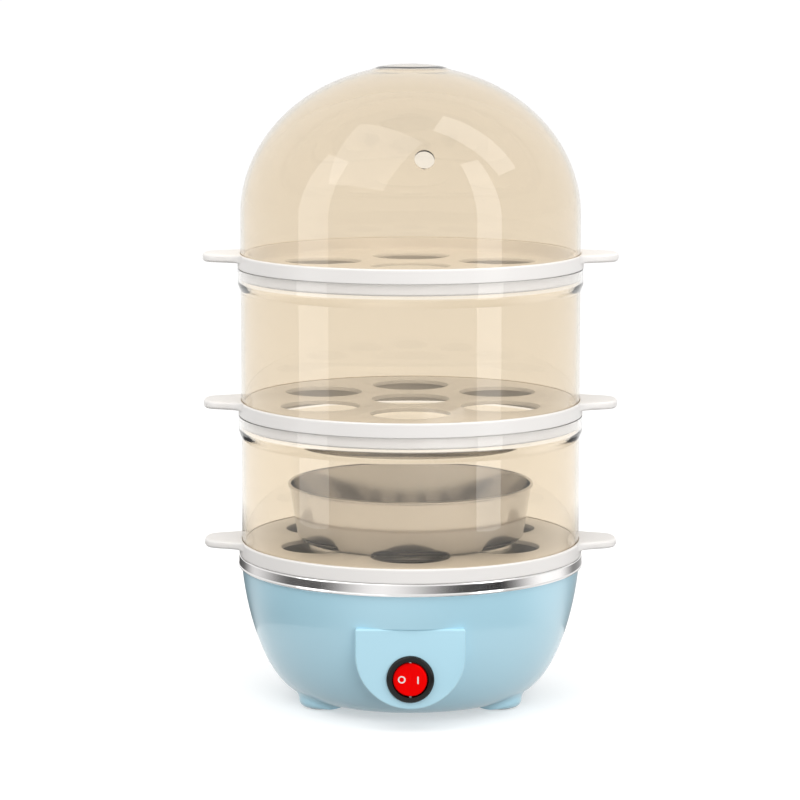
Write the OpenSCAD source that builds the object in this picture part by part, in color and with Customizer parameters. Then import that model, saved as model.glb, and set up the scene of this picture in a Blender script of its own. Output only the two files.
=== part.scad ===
// Three-tier electric egg cooker and steamer.
// Millimetres, +Z up. The origin is on the surface it stands on, at the centre of the base.
// -Y is the front, where the switch is, and the tray handles point along X.

/* [Base] */
// Radius of the housing at its top edge
housing_r = 83.75; // [80:0.05:84]
// Height of the housing's top edge above the table
housing_top = 67.1; // [64:0.1:72]
// Radius at which the bowl-shaped wall meets the flat bottom
bottom_r = 44; // [43:0.5:46]
// Height of the flat bottom above the table
bottom_z = 2.6; // [2.2:0.1:3]
// Thickness of the housing wall
housing_t = 2.4; // [2:0.1:2.6]
// Distance of each foot from the centre
foot_pitch_r = 50.8; // [50:0.1:52]
// Radius of a foot stub where it leaves the housing
foot_r = 11.8; // [10:0.1:12]

/* [Switch] */
// Half the width of the flat D-shaped switch panel
panel_r = 26.3; // [24:0.1:28]
// Height of the panel's straight top edge
panel_top = 50.8; // [48:0.1:52]
// Height at which the panel's sides turn into its round lower end
panel_round_z = 37.9; // [36:0.1:39]
// Distance of the panel's face in front of the centre
panel_y = 80.7; // [80.5:0.1:81.2]
// Height of the switch's centre
switch_z = 26.6; // [26:0.1:28]
// Radius of the switch's bezel
bezel_r = 11.4; // [11:0.1:12]
// Radius of the rocker
rocker_r = 8.1; // [7.8:0.1:8.1]
// Tilt of the rocker to each side of its middle
rocker_tilt = 8; // [6:0.5:8]

/* [Pan] */
// Outer radius of the pan's bright turned-down rim
pan_r = 85.5; // [85.3:0.1:86]
// Height of the bright rim
pan_rim_h = 6; // [5.8:0.1:7]
// Height of the pan's floor above the table
pan_floor_z = 50; // [49:0.5:52]
// Thickness of the pan's sheet
sheet_t = 0.6; // [0.5:0.1:0.6]

/* [Tiers] */
// Outer radius of the clear tubes and the dome
tube_r = 83.7; // [83:0.1:83.7]
// Wall of the clear tubes and the dome
tube_t = 1.6; // [1.4:0.1:1.8]
// Height of a tray's outer rim
rim_h = 7.2; // [6.8:0.1:8]
// Height of the skirt that plugs a tray into what is below it
plug_h = 5.6; // [5:0.1:5.6]
// Distance from the lower tray's rim to the middle tray's rim
lower_pitch = 69.6; // [60:0.1:90]
// Distance from the middle tray's rim to the upper tray's rim
upper_pitch = 72.6; // [60:0.1:90]
// Depth of the upper tray's plate below its rim
upper_drop = 6.4; // [5:0.1:7]
// Radius of an egg hole
hole_r = 19.2; // [16:0.1:20]
// Distance of the outer holes from the centre
hole_pitch_r = 50.5; // [48:0.1:52]
// Distance from the centre to a handle's tip
handle_tip = 102.3; // [98:0.1:106]
// Half the width of a handle at its root
handle_root_w = 17; // [14:0.5:18]
// Thickness of a handle
handle_t = 3.9; // [3:0.1:4.5]

/* [Lid] */
// Height of the dome above the upper tray's rim
dome_h = 91.5; // [86:0.1:95]
// Height of the dome's straight wall above the upper tray's rim
dome_straight_h = 18.5; // [16:0.1:20]
// Radius of the raised round cap on top
cap_r = 20.5; // [18:0.5:24]
// Height of the cap above the dome
cap_h = 0.9; // [0.6:0.1:1.2]
// Diameter of the steam vent
vent_d = 9.5; // [6:0.5:10]

/* [Bowl] */
// Radius of the steaming bowl at its rim
steam_bowl_r = 60; // [56:0.5:62]
// Radius of the steaming bowl at its bottom
steam_bowl_foot_r = 56.5; // [52:0.5:58]
// Height of the steaming bowl
steam_bowl_h = 28; // [20:0.5:34]

/* [Hidden] */
$fn = 96;
tiny = 0.01;            // overlap that makes a cut or a union clean
gap = 0.3;              // clearance between loose parts of the stack
far = 300;              // larger than the object

// Base
bowl_p = 0.72;          // the housing outline is a superellipse quarter with these two powers
bowl_q = 1.44;
bowl_steps = 28;
cover_r = 41.2;
cover_t = 2.2;
cover_fit = 0.3;
ledge_r = 37.5;         // inside of the ledge that the cover closes against
ledge_t = 2.4;
cover_screw_r = 35.5;   // distance of the cover's screws from the centre
foot_angles = [-150, -30, 90];
cover_screw_angles = [30, 150, 270];
boss_r = 4.2;
foot_bottom_z = 0.5;
foot_round = 3.6;
pad_r = 6.5;
pad_t = 2;
screw_shank_r = 1.45;   // 3 mm self-tapping screws
screw_hole_r = 1.5;
screw_head_r = 2.8;
screw_pass_r = 1.7;     // hole that a screw passes through
stud_pitch_r = 62;
stud_r = 2;
stud_hole_r = 2.1;
lug_z = 37;
lug_t = 3;
lug_w = 12;
lug_in_r = 56;
rib_h = 7;              // rib below each lug, short enough to stay above the cord gland
washer_t = 0.8;

// Rear cord entry
gland_z = 22;
gland_face_y = 75.8;
gland_boss_r = 9.5;
gland_hole_r = 5.2;
gland_neck_r = 5.1;
cord_r = 3.4;
clamp_y = 58.5;
clamp_w = 26;
clamp_d = 5;
clamp_screw_x = 9;
saddle_top = 21.2;

// Pan
pan_top = housing_top + 0.3 + pan_rim_h;
pan_in_r = tube_r + 0.05;
pan_ledge_z = housing_top + sheet_t;
pan_wall_top_r = 79.4;
pan_wall_bottom_r = 76.4;
pan_corner_r = 5;

// Heater and thermostat, under the pan's floor
heater_plate_r = 46;
heater_plate_t = 3;
heater_plate_z = pan_floor_z - sheet_t - heater_plate_t;
heater_ring_r = 36;
heater_tube_r = 3.3;
heater_gap_angle = 30;  // half the opening of the C-shaped element
heater_leg_h = 8;
heater_pin_r = 1.1;
heater_pin_h = 7;
stat_r = 7.5;
stat_h = 8;
stat_cap_r = 8;
stat_cap_h = 3;
stat_body_z = heater_plate_z - stat_cap_h - stat_h;
blade_w = 6.3;          // standard 6.3 by 0.8 mm terminals
blade_t = 0.8;
blade_l = 9;
bracket_x = 17;
bracket_w = 8;
bracket_t = 0.8;
bracket_foot_z = heater_plate_z - 5.4;
fuse_r = 2;
fuse_l = 14;
fuse_y = -22;
fuse_z = heater_plate_z - fuse_r - 0.1;
lead_r = 1.2;
lead_steps = 3;         // rings between two points of a lead's route

// Switch
bezel_h = 2.2;
barrel_r = 9.9;
barrel_l = 20.7;
panel_hole_r = 10;
rocker_bay_r = 8.7;
rocker_bay_d = 8;
rocker_mid_h = 1.2;     // the rocker's lowest line, in front of its pivot
rocker_back_r = 6.5;
pivot_r = 0.8;
pivot_hole_r = 0.85;
pivot_half_l = 9.5;

// Tiers
seat_d = 2;             // depth of the groove that a tube stands in
lip_t = 1.1;
skirt_t = 1.8;
plate_t = 2;
lip_in_r = tube_r + gap;
rim_r = lip_in_r + lip_t;
seat_in_r = tube_r - tube_t - gap;
wall_in_r = seat_in_r - skirt_t;
collar_in_r = tube_r + 0.05;
plug_r = collar_in_r - gap;
collar_h = plug_h + 0.6;
flare_h = 2.4;
hole_angles = [for (i = [0:5]) 30 + 60 * i];
lower_rim_z = pan_top + rim_h;
middle_rim_z = lower_rim_z + lower_pitch;
upper_rim_z = middle_rim_z + upper_pitch;

// Lid
dome_z = upper_rim_z + dome_straight_h;
dome_rise = dome_h - dome_straight_h;
vent_angle = -85;       // direction of the vent round the dome
vent_z = upper_rim_z + 50.8;

// Routes of the three leads, chosen to stay clear of the heater and the bracket
switch_route = [
    [4, -50.8, 26.6], [4, -45, 26.6], [3, -36, 28], [1, -28, 32], [0, -21, 36.5], [0, -16.7, 37.6]
];
fuse_route = [
    [0, 17.5, 37.6], [-3, 21.5, 37], [-12, 24, 36], [-22, 17, 36], [-27, 4, 37], [-25, -10, 39],
    [-20, -19, 43], [-13, -22, 44.3], [-7.2, -22, 44.3]
];
heater_route = [
    [7.2, -22, 44.3], [12, -22, 43.5], [19, -22, 38], [25, -20, 31], [29, -18.7, 26.5], [31.2, -18, 25.5]
];

// Points of an elliptical arc from angle a0 to a1 in the plane of an outline.
function arc(cx, cy, rx, ry, a0, a1, steps) = [
    for (i = [0:steps]) let (a = a0 + (a1 - a0) * i / steps) [cx + rx * cos(a), cy + ry * sin(a)]
];

// The housing's outline from its bottom edge up to its top edge, moved inwards by inset.
function bowl_line(inset) = [
    for (i = [0:bowl_steps]) let (a = 90 - 90 * i / bowl_steps) [
        bottom_r + (housing_r - inset - bottom_r) * pow(max(cos(a), 0), bowl_p),
        housing_top - (housing_top - bottom_z - inset) * pow(sin(a), bowl_q)
    ]
];

// A smooth step from radius r0 at height z0 to radius r1 at height z1.
function flare(r0, z0, r1, z1, steps) = [
    for (i = [0:steps]) let (u = i / steps) [r0 + (r1 - r0) * (1 - cos(180 * u)) / 2, z0 + (z1 - z0) * u]
];

function reversed(list) = [for (i = [len(list) - 1:-1:0]) list[i]];

// Catmull-Rom curve through the points of a route.
function spline_at(p, i, u) =
    let (
        last = len(p) - 1,
        a = p[max(i - 1, 0)],
        b = p[i],
        c = p[min(i + 1, last)],
        d = p[min(i + 2, last)]
    )
    0.5 * (2 * b + (c - a) * u + (2 * a - 5 * b + 4 * c - d) * u * u + (3 * b - a - 3 * c + d) * u * u * u);

function spline(p, steps) = [
    for (i = [0:len(p) - 2], k = [0:steps - 1]) spline_at(p, i, k / steps),
    p[len(p) - 1]
];

function unit(v) = v / norm(v);

function tangent(path, i) = unit(path[min(i + 1, len(path) - 1)] - path[max(i - 1, 0)]);

// A round lead swept along a route as one closed tube.
module lead(route) {
    sides = 8;
    path = spline(route, lead_steps);
    points = [
        for (i = [0:len(path) - 1])
            let (
                t = tangent(path, i),
                u = unit(cross(t, [0.3, 0.2, 1])),
                v = cross(t, u)
            )
            for (k = [0:sides - 1]) path[i] + lead_r * (u * cos(360 * k / sides) + v * sin(360 * k / sides))
    ];
    rings = len(path);
    walls = [
        for (i = [0:rings - 2], k = [0:sides - 1])
            [i * sides + k, i * sides + (k + 1) % sides, (i + 1) * sides + (k + 1) % sides, (i + 1) * sides + k]
    ];
    first = [for (k = [sides - 1:-1:0]) k];
    last = [for (k = [0:sides - 1]) (rings - 1) * sides + k];
    polyhedron(points = points, faces = concat([first], walls, [last]));
}

module at_angles(angles, r) {
    for (a = angles) rotate([0, 0, a]) translate([r, 0, 0]) children();
}

// Turns a shape made along +Z so that it points to the front (-Y) or to the rear (+Y).
module to_front() {
    rotate([90, 0, 0]) children();
}

module to_rear() {
    rotate([-90, 0, 0]) children();
}

// The D-shaped panel as a block: straight top, half-round bottom, between two depths.
module panel_block(inset, y_front, y_back) {
    r = panel_r - inset;
    top = panel_top - inset - panel_round_z;
    translate([0, -y_back, panel_round_z]) to_front() linear_extrude(y_front - y_back)
        polygon(concat(arc(0, 0, r, r, -180, 0, 32), [[r, top], [-r, top]]));
}

// The bowl as a solid, moved inwards by inset and carried on upwards by extra.
module bowl_solid(inset, extra) {
    rim = extra > 0 ? [[housing_r - inset, housing_top + extra]] : [];
    rotate_extrude() polygon(concat(
        [[0, bottom_z + inset]], bowl_line(inset), rim, [[0, housing_top + extra]]
    ));
}

module foot_stub() {
    low_r = foot_r - 1.2;
    top_z = 12;
    rotate_extrude() polygon(concat(
        [[0, foot_bottom_z]],
        arc(low_r - foot_round, foot_bottom_z + foot_round, foot_round, foot_round, -90, 0, 8),
        [[foot_r, top_z], [0, top_z]]
    ));
}

module housing_shell() {
    difference() {
        union() {
            bowl_solid(0, 0);
            panel_block(0, panel_y, 40);
            translate([0, 50, gland_z]) to_rear() cylinder(r = gland_boss_r, h = gland_face_y - 50);
            at_angles(foot_angles, foot_pitch_r) foot_stub();
        }
        bowl_solid(housing_t, 1);
        panel_block(housing_t, panel_y - housing_t, 38);
        panel_block(0, panel_y + 8, panel_y);
        translate([0, 48, gland_z]) to_rear()
            cylinder(r = gland_boss_r - housing_t, h = gland_face_y - housing_t - 48);
    }
}

module housing_insides() {
    ledge_z = bottom_z + cover_t;
    saddle_z = 4;
    intersection() {
        bowl_solid(0, 0);
        union() {
            translate([0, 0, ledge_z]) cylinder(r = bottom_r + 3, h = ledge_t);
            at_angles(cover_screw_angles, cover_screw_r) translate([0, 0, ledge_z]) cylinder(r = boss_r, h = 10);
            at_angles(foot_angles, lug_in_r) translate([0, -lug_w / 2, lug_z]) cube([24, lug_w, lug_t]);
            at_angles(foot_angles, stud_pitch_r + 6) translate([0, -housing_t / 2, lug_z - rib_h])
                cube([12, housing_t, rib_h + tiny]);
            translate([-clamp_w / 2, clamp_y - clamp_d / 2, saddle_z])
                cube([clamp_w, clamp_d, saddle_top - saddle_z]);
        }
    }
}

module base_housing() {
    ledge_z = bottom_z + cover_t;
    color([0.72, 0.87, 0.93]) difference() {
        union() {
            housing_shell();
            housing_insides();
        }
        difference() {
            translate([0, 0, -1]) cylinder(r = ledge_r, h = 15);
            at_angles(cover_screw_angles, cover_screw_r) translate([0, 0, -2]) cylinder(r = boss_r, h = 20);
        }
        translate([0, 0, -1]) cylinder(r = cover_r + cover_fit, h = ledge_z + 1);
        at_angles(cover_screw_angles, cover_screw_r) translate([0, 0, ledge_z - 1]) cylinder(r = screw_hole_r, h = 9);
        at_angles(foot_angles, foot_pitch_r) translate([0, 0, -1]) cylinder(r = pad_r + 0.1, h = pad_t + 1);
        at_angles(foot_angles, stud_pitch_r) translate([0, 0, lug_z - 1]) cylinder(r = stud_hole_r, h = lug_t + 2);
        translate([0, -panel_y + 10, switch_z]) to_front() cylinder(r = panel_hole_r, h = 20);
        translate([0, gland_face_y - 10, gland_z]) to_rear() cylinder(r = gland_hole_r, h = 20);
        translate([0, clamp_y - 5, gland_z]) to_rear() cylinder(r = cord_r, h = 10);
        for (x = [-clamp_screw_x, clamp_screw_x])
            translate([x, clamp_y, saddle_top - 8]) cylinder(r = screw_hole_r, h = 10);
    }
}

module bottom_cover() {
    slot_w = 2.4;
    slot_in_r = 12;
    slot_l = 14;
    slots = 12;
    color([0.72, 0.87, 0.93]) difference() {
        translate([0, 0, bottom_z]) cylinder(r = cover_r, h = cover_t);
        for (i = [0:slots - 1]) rotate([0, 0, 360 / slots * i + 15])
            translate([slot_in_r, -slot_w / 2, 0]) cube([slot_l, slot_w, 10]);
        at_angles(cover_screw_angles, cover_screw_r) {
            cylinder(r = screw_pass_r, h = 10);
            translate([0, 0, bottom_z - 1]) cylinder(r = screw_head_r + 0.3, h = 2.2);
        }
    }
}

// A pan-head screw with its head at z = 0 pointing down and its shank going up.
module screw(shank_l, head_h) {
    difference() {
        union() {
            cylinder(r = screw_head_r, h = head_h);
            cylinder(r = screw_shank_r, h = head_h + shank_l);
        }
        for (a = [0, 90]) rotate([0, 0, a]) translate([-1.8, -0.35, -1]) cube([3.6, 0.7, 1.6]);
    }
}

module cover_screws() {
    color("silver") at_angles(cover_screw_angles, cover_screw_r) translate([0, 0, bottom_z]) screw(8, 1.2);
}

module foot_pads() {
    color([0.3, 0.3, 0.32]) at_angles(foot_angles, foot_pitch_r) cylinder(r = pad_r, h = pad_t);
}

module heating_pan() {
    t = sheet_t;
    roll_r = (pan_r - pan_in_r) / 2;
    roll_x = pan_in_r + roll_r;
    roll_z = pan_top - roll_r;
    corner_z = pan_floor_z + pan_corner_r;
    corner_x = pan_wall_bottom_r - pan_corner_r;
    inside = concat(
        [[0, pan_floor_z]],
        arc(corner_x, corner_z, pan_corner_r, pan_corner_r, -90, 0, 6),
        [[pan_wall_top_r, pan_ledge_z], [pan_in_r, pan_ledge_z]],
        arc(roll_x, roll_z, roll_r, roll_r, 180, 0, 12),
        [[pan_r, housing_top + 0.3]]
    );
    outside = concat(
        [[pan_r - t, housing_top + 0.3]],
        arc(roll_x, roll_z, roll_r - t, roll_r - t, 0, 180, 8),
        [[pan_in_r + t, housing_top], [pan_wall_top_r + t, housing_top]],
        arc(corner_x, corner_z, pan_corner_r + t, pan_corner_r + t, 0, -90, 6),
        [[0, pan_floor_z - t]]
    );
    color([0.85, 0.85, 0.86]) rotate_extrude() polygon(concat(inside, outside));
}

module heater_plate() {
    post_l = heater_plate_z - bracket_foot_z;
    color([0.75, 0.76, 0.78]) difference() {
        union() {
            translate([0, 0, heater_plate_z]) cylinder(r = heater_plate_r, h = heater_plate_t);
            for (x = [-bracket_x, bracket_x]) translate([x, 0, bracket_foot_z]) cylinder(r = 3.2, h = post_l + tiny);
        }
        for (x = [-bracket_x, bracket_x])
            translate([x, 0, bracket_foot_z - 1]) cylinder(r = screw_hole_r, h = 7);
    }
}

module heater_tube() {
    ring_z = heater_plate_z - heater_tube_r;
    color([0.35, 0.35, 0.36]) translate([0, 0, ring_z]) union() {
        rotate([0, 0, heater_gap_angle]) rotate_extrude(angle = 360 - 2 * heater_gap_angle)
            translate([heater_ring_r, 0]) circle(r = heater_tube_r);
        at_angles([-heater_gap_angle, heater_gap_angle], heater_ring_r)
            translate([0, 0, -heater_leg_h]) cylinder(r = heater_tube_r + 0.4, h = heater_leg_h + heater_tube_r - 0.2);
    }
}

module heater_pins() {
    low_z = heater_plate_z - heater_tube_r - heater_leg_h;
    color("silver") at_angles([-heater_gap_angle, heater_gap_angle], heater_ring_r)
        translate([0, 0, low_z - heater_pin_h]) cylinder(r = heater_pin_r, h = heater_pin_h);
}

module pan_studs() {
    under_z = pan_floor_z - sheet_t;
    shoulder_z = lug_z + lug_t;
    color("silver") at_angles(foot_angles, stud_pitch_r) {
        translate([0, 0, lug_z - 6]) cylinder(r = stud_r, h = shoulder_z - lug_z + 7);
        translate([0, 0, shoulder_z]) cylinder(r = 4, h = under_z - shoulder_z);
    }
}

module stud_washers() {
    color("silver") at_angles([-150, -30], stud_pitch_r) translate([0, 0, lug_z - washer_t]) difference() {
        cylinder(r = 4.2, h = washer_t);
        translate([0, 0, -1]) cylinder(r = stud_hole_r, h = 3);
    }
}

module pan_nuts() {
    nut_h = 3.2;
    color("silver") at_angles(foot_angles, stud_pitch_r) translate([0, 0, lug_z - washer_t - nut_h]) difference() {
        cylinder(r = 4.04, h = nut_h, $fn = 6);
        translate([0, 0, -1]) cylinder(r = stud_r + 0.05, h = 6);
    }
}

module earth_lug() {
    color([0.8, 0.65, 0.3]) translate([0, stud_pitch_r, lug_z - washer_t]) difference() {
        union() {
            cylinder(r = 4.2, h = washer_t);
            translate([-10, -2, 0]) cube([8, 4, washer_t]);
            translate([-12, 0, -1.2]) rotate([0, 90, 0]) cylinder(r = 1.9, h = 5);
        }
        translate([0, 0, -1]) cylinder(r = stud_hole_r, h = 3);
        translate([-13, 0, -1.2]) rotate([0, 90, 0]) cylinder(r = 1.2, h = 4);
    }
}

module thermostat_body() {
    color([0.9, 0.88, 0.82]) translate([0, 0, stat_body_z]) cylinder(r = stat_r, h = stat_h);
}

module thermostat_cap() {
    color("silver") translate([0, 0, stat_body_z + stat_h]) cylinder(r = stat_cap_r, h = stat_cap_h);
}

module thermostat_tabs() {
    color("silver") for (a = [0, 180]) rotate([0, 0, a])
        translate([-blade_w / 2, stat_r, stat_body_z + 1.8]) cube([blade_w, blade_l, blade_t]);
}

module thermostat_bracket() {
    arm_x = 10;
    color([0.6, 0.6, 0.62]) difference() {
        union() {
            translate([-arm_x, -bracket_w / 2, stat_body_z - bracket_t]) cube([2 * arm_x, bracket_w, bracket_t]);
            for (s = [-1, 1]) {
                translate([s * arm_x - bracket_t / 2, -bracket_w / 2, stat_body_z - bracket_t])
                    cube([bracket_t, bracket_w, bracket_foot_z - stat_body_z + bracket_t]);
                translate([s * (arm_x + 5.5) - 5.9, -bracket_w / 2, bracket_foot_z - bracket_t])
                    cube([11.8, bracket_w, bracket_t]);
            }
        }
        for (x = [-bracket_x, bracket_x])
            translate([x, 0, bracket_foot_z - 2]) cylinder(r = screw_pass_r, h = 4);
    }
}

module bracket_screws() {
    color("silver") for (x = [-bracket_x, bracket_x])
        translate([x, 0, bracket_foot_z - bracket_t - 1.8]) screw(6, 1.8);
}

module thermal_fuse() {
    color([0.92, 0.92, 0.9]) translate([-fuse_l / 2, fuse_y, fuse_z]) rotate([0, 90, 0]) cylinder(r = fuse_r, h = fuse_l);
}

module fuse_clip() {
    hug_r = fuse_r + 0.1;
    t = 0.8;
    leg_h = heater_plate_z - fuse_z;
    color([0.6, 0.6, 0.62]) translate([-4, fuse_y, fuse_z]) rotate([90, 0, 90]) linear_extrude(8) {
        difference() {
            circle(r = hug_r + t);
            circle(r = hug_r);
            translate([-far / 2, 0]) square([far, far]);
        }
        for (s = [-1, 1]) translate([s * (hug_r + t / 2) - t / 2, -tiny]) square([t, leg_h + tiny]);
        translate([-hug_r - t - 4, leg_h - t]) square([4 + tiny, t]);
        translate([hug_r + t - tiny, leg_h - t]) square([4 + tiny, t]);
    }
}

module switch_lead() {
    color([0.75, 0.1, 0.1]) lead(switch_route);
}

module fuse_lead() {
    color([0.95, 0.95, 0.92]) lead(fuse_route);
}

module heater_lead() {
    color([0.95, 0.95, 0.92]) lead(heater_route);
}

module at_switch() {
    translate([0, -panel_y, switch_z]) to_front() children();
}

module switch_body() {
    lip_r = 9.3;
    edge_h = 0.9;
    color([0.08, 0.08, 0.08]) difference() {
        at_switch() rotate_extrude() polygon(concat(
            [[0, -barrel_l], [barrel_r, -barrel_l], [barrel_r, 0], [bezel_r, 0], [bezel_r, edge_h]],
            arc(lip_r, edge_h, bezel_r - lip_r, bezel_h - edge_h, 15, 90, 6),
            [[rocker_bay_r, bezel_h - 0.4], [rocker_bay_r, -rocker_bay_d], [0, -rocker_bay_d]]
        ));
        translate([0, -panel_y, switch_z - pivot_half_l - 0.1]) cylinder(r = pivot_hole_r, h = 2 * pivot_half_l + 0.2);
    }
}

module switch_terminals() {
    color("silver") for (x = [-4, 4])
        translate([x - blade_t / 2, -panel_y + barrel_l, switch_z - blade_w / 2]) cube([blade_t, blade_l, blade_w]);
}

module switch_pin() {
    color("silver") translate([0, -panel_y, switch_z - pivot_half_l]) cylinder(r = pivot_r, h = 2 * pivot_half_l);
}

// The rocker's face is a shallow V. It rests with its left half pressed in, at off.
module switch_rocker() {
    wing = rocker_r + 1;
    rise = rocker_mid_h + wing * tan(rocker_tilt);
    back_h = 1.5;
    color([0.9, 0.05, 0.05]) translate([0, -panel_y, switch_z]) rotate([0, 0, -rocker_tilt]) difference() {
        union() {
            intersection() {
                translate([0, back_h, 0]) to_front() cylinder(r = rocker_r, h = back_h + rise);
                translate([0, 0, -wing]) linear_extrude(2 * wing) polygon([
                    [-wing, back_h], [-wing, -rise], [0, -rocker_mid_h], [wing, -rise], [wing, back_h]
                ]);
            }
            translate([0, 5, 0]) to_front() cylinder(r = rocker_back_r, h = 4);
        }
        translate([0, 0, -wing]) cylinder(r = pivot_hole_r, h = 2 * wing);
    }
}

module cord_gland() {
    inner_y = gland_face_y - housing_t;
    color([0.2, 0.2, 0.22]) translate([0, 0, gland_z]) difference() {
        union() {
            translate([0, gland_face_y, 0]) to_rear() cylinder(r = 7.5, h = 1.8);
            translate([0, inner_y - tiny, 0]) to_rear() cylinder(r = gland_neck_r, h = housing_t + 2 * tiny);
            translate([0, inner_y - 1.8, 0]) to_rear() cylinder(r = 6.3, h = 1.8);
        }
        translate([0, inner_y - 5, 0]) to_rear() cylinder(r = cord_r, h = 15);
    }
}

module cord_clamp() {
    low_z = saddle_top + 0.7;
    bar_h = 5;
    color([0.2, 0.2, 0.22]) difference() {
        translate([-clamp_w / 2, clamp_y - clamp_d / 2, low_z]) cube([clamp_w, clamp_d, bar_h]);
        translate([0, clamp_y - 5, gland_z]) to_rear() cylinder(r = cord_r, h = 10);
        for (x = [-clamp_screw_x, clamp_screw_x]) translate([x, clamp_y, low_z - 1]) cylinder(r = screw_pass_r, h = 8);
    }
}

module clamp_screws() {
    head_z = saddle_top + 0.7 + 5;
    head_h = 1.8;
    color("silver") for (x = [-clamp_screw_x, clamp_screw_x])
        translate([x, clamp_y, head_z + head_h]) rotate([180, 0, 0]) screw(12, head_h);
}

// Half of a handle's outline: a taper from the root, then a rounded end.
function handle_line() =
    let (
        tip_w = handle_root_w - 4,
        bend_x = handle_tip - 8.3
    )
    concat([[wall_in_r, handle_root_w]], reversed(arc(bend_x, 0, handle_tip - bend_x, tip_w, 0, 90, 10)));

// One tray: lipped groove on top for a tube, plug skirt below, plate with seven holes, two handles.
module tray(rim_z, drop) {
    round_r = 0.9;
    fillet = drop > 0 ? 2 : 0;
    plug_in = plug_r - skirt_t;
    low_z = -rim_h - plug_h;
    under_plate = drop > 0
        ? [[0, -drop - plate_t], [plug_in, -drop - plate_t]]
        : [[0, -plate_t], [wall_in_r, -plate_t], [wall_in_r, -seat_d - plate_t], [plug_in, -seat_d - plate_t]];
    over_plate = drop > 0
        ? concat(
            [[seat_in_r, 0], [wall_in_r, 0]],
            arc(wall_in_r - fillet, -drop + fillet, fillet, fillet, 0, -90, 5),
            [[0, -drop]])
        : [[seat_in_r, 0], [0, 0]];
    outline = concat(
        under_plate,
        [[plug_in, low_z]],
        arc(plug_r - 1.2, low_z + 1.2, 1.2, 1.2, -90, 0, 5),
        [[plug_r, -rim_h], [rim_r - 0.5, -rim_h], [rim_r, -rim_h + 0.5]],
        arc(rim_r - round_r, -round_r, round_r, round_r, 0, 90, 5),
        [[lip_in_r, 0], [lip_in_r, -seat_d], [seat_in_r, -seat_d]],
        over_plate
    );
    half = handle_line();
    whole = concat(half, reversed([for (p = half) [p[0], -p[1]]]));
    color([0.96, 0.95, 0.93]) translate([0, 0, rim_z]) difference() {
        union() {
            rotate_extrude() polygon(outline);
            difference() {
                for (a = [0, 180]) rotate([0, 0, a]) translate([0, 0, -handle_t]) linear_extrude(handle_t) polygon(whole);
                translate([0, 0, -far / 2]) cylinder(r = rim_r - lip_t / 2, h = far);
            }
        }
        at_angles(hole_angles, hole_pitch_r) egg_hole(drop);
        egg_hole(drop);
    }
}

// A hole with a bevelled upper edge that an egg sits in.
module egg_hole(drop) {
    bevel = drop > 0 ? 1.2 : 0.5;
    translate([0, 0, -drop - plate_t - 1]) cylinder(r = hole_r, h = plate_t + 2);
    translate([0, 0, -drop - bevel]) cylinder(r1 = hole_r, r2 = hole_r + bevel + tiny, h = bevel + tiny);
}

// A clear tube. Its foot stands in a tray's groove, and its collar takes the next tray's plug.
module tube(foot_z, top_z) {
    in_r = tube_r - tube_t;
    step_z = top_z - collar_h;
    color([0.93, 0.87, 0.76, 0.4]) rotate_extrude() polygon(concat(
        [[in_r, foot_z], [tube_r, foot_z]],
        flare(tube_r, step_z - flare_h - 0.8, rim_r, step_z - 0.8, 8),
        [[rim_r, top_z], [collar_in_r, top_z]],
        reversed(flare(in_r, step_z - flare_h + 0.4, collar_in_r, step_z, 8))
    ));
}

module lower_tray() {
    tray(lower_rim_z, 0);
}

module middle_tray() {
    tray(middle_rim_z, 0);
}

module upper_tray() {
    tray(upper_rim_z, upper_drop);
}

module lower_tube() {
    tube(lower_rim_z - seat_d, middle_rim_z - rim_h);
}

module upper_tube() {
    tube(middle_rim_z - seat_d, upper_rim_z - rim_h);
}

// A clear dome: straight wall, half an ellipse on top and a slightly raised round cap.
module dome_lid() {
    in_r = tube_r - tube_t;
    foot_z = upper_rim_z - seat_d;
    steps = 30;
    cap_a = acos(cap_r / tube_r);
    cap_edge_z = dome_z + dome_rise * sin(cap_a);
    outer = arc(0, dome_z, tube_r, dome_rise, 0, cap_a, steps);
    cap = [for (i = [1:8]) let (r = cap_r * (1 - i / 8))
        [r, dome_z + dome_rise * sqrt(1 - pow(r / tube_r, 2)) + cap_h * min(1, 2.5 * i / 8)]];
    inner = arc(0, dome_z, in_r, dome_rise - tube_t, 90, 0, steps);
    vent_x = tube_r * sqrt(1 - pow((vent_z - dome_z) / dome_rise, 2));
    vent_tilt = atan2((vent_z - dome_z) / pow(dome_rise, 2), vent_x / pow(tube_r, 2));
    color([0.93, 0.87, 0.76, 0.4]) difference() {
        rotate_extrude() polygon(concat([[in_r, foot_z], [tube_r, foot_z]], outer, cap, inner));
        rotate([0, 0, vent_angle]) translate([vent_x, 0, vent_z]) rotate([0, 90 - vent_tilt, 0])
            translate([0, 0, -10]) cylinder(r = vent_d / 2, h = 20);
    }
}

// A steel bowl with tapered walls and a rolled rim.
module steaming_bowl() {
    t = 0.7;
    round_r = 4;
    bead_r = 0.8;
    top_z = lower_rim_z + steam_bowl_h - bead_r;
    corner_z = lower_rim_z + round_r;
    corner_x = steam_bowl_foot_r - round_r;
    color([0.85, 0.85, 0.86]) rotate_extrude() polygon(concat(
        [[0, lower_rim_z]],
        arc(corner_x, corner_z, round_r, round_r, -90, -8, 6),
        [[steam_bowl_r, top_z - bead_r]],
        arc(steam_bowl_r + bead_r - t, top_z, bead_r, bead_r, -60, 180, 12),
        reversed(arc(corner_x, corner_z, round_r - t, round_r - t, -90, -8, 6)),
        [[0, lower_rim_z + t]]
    ));
}

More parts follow.
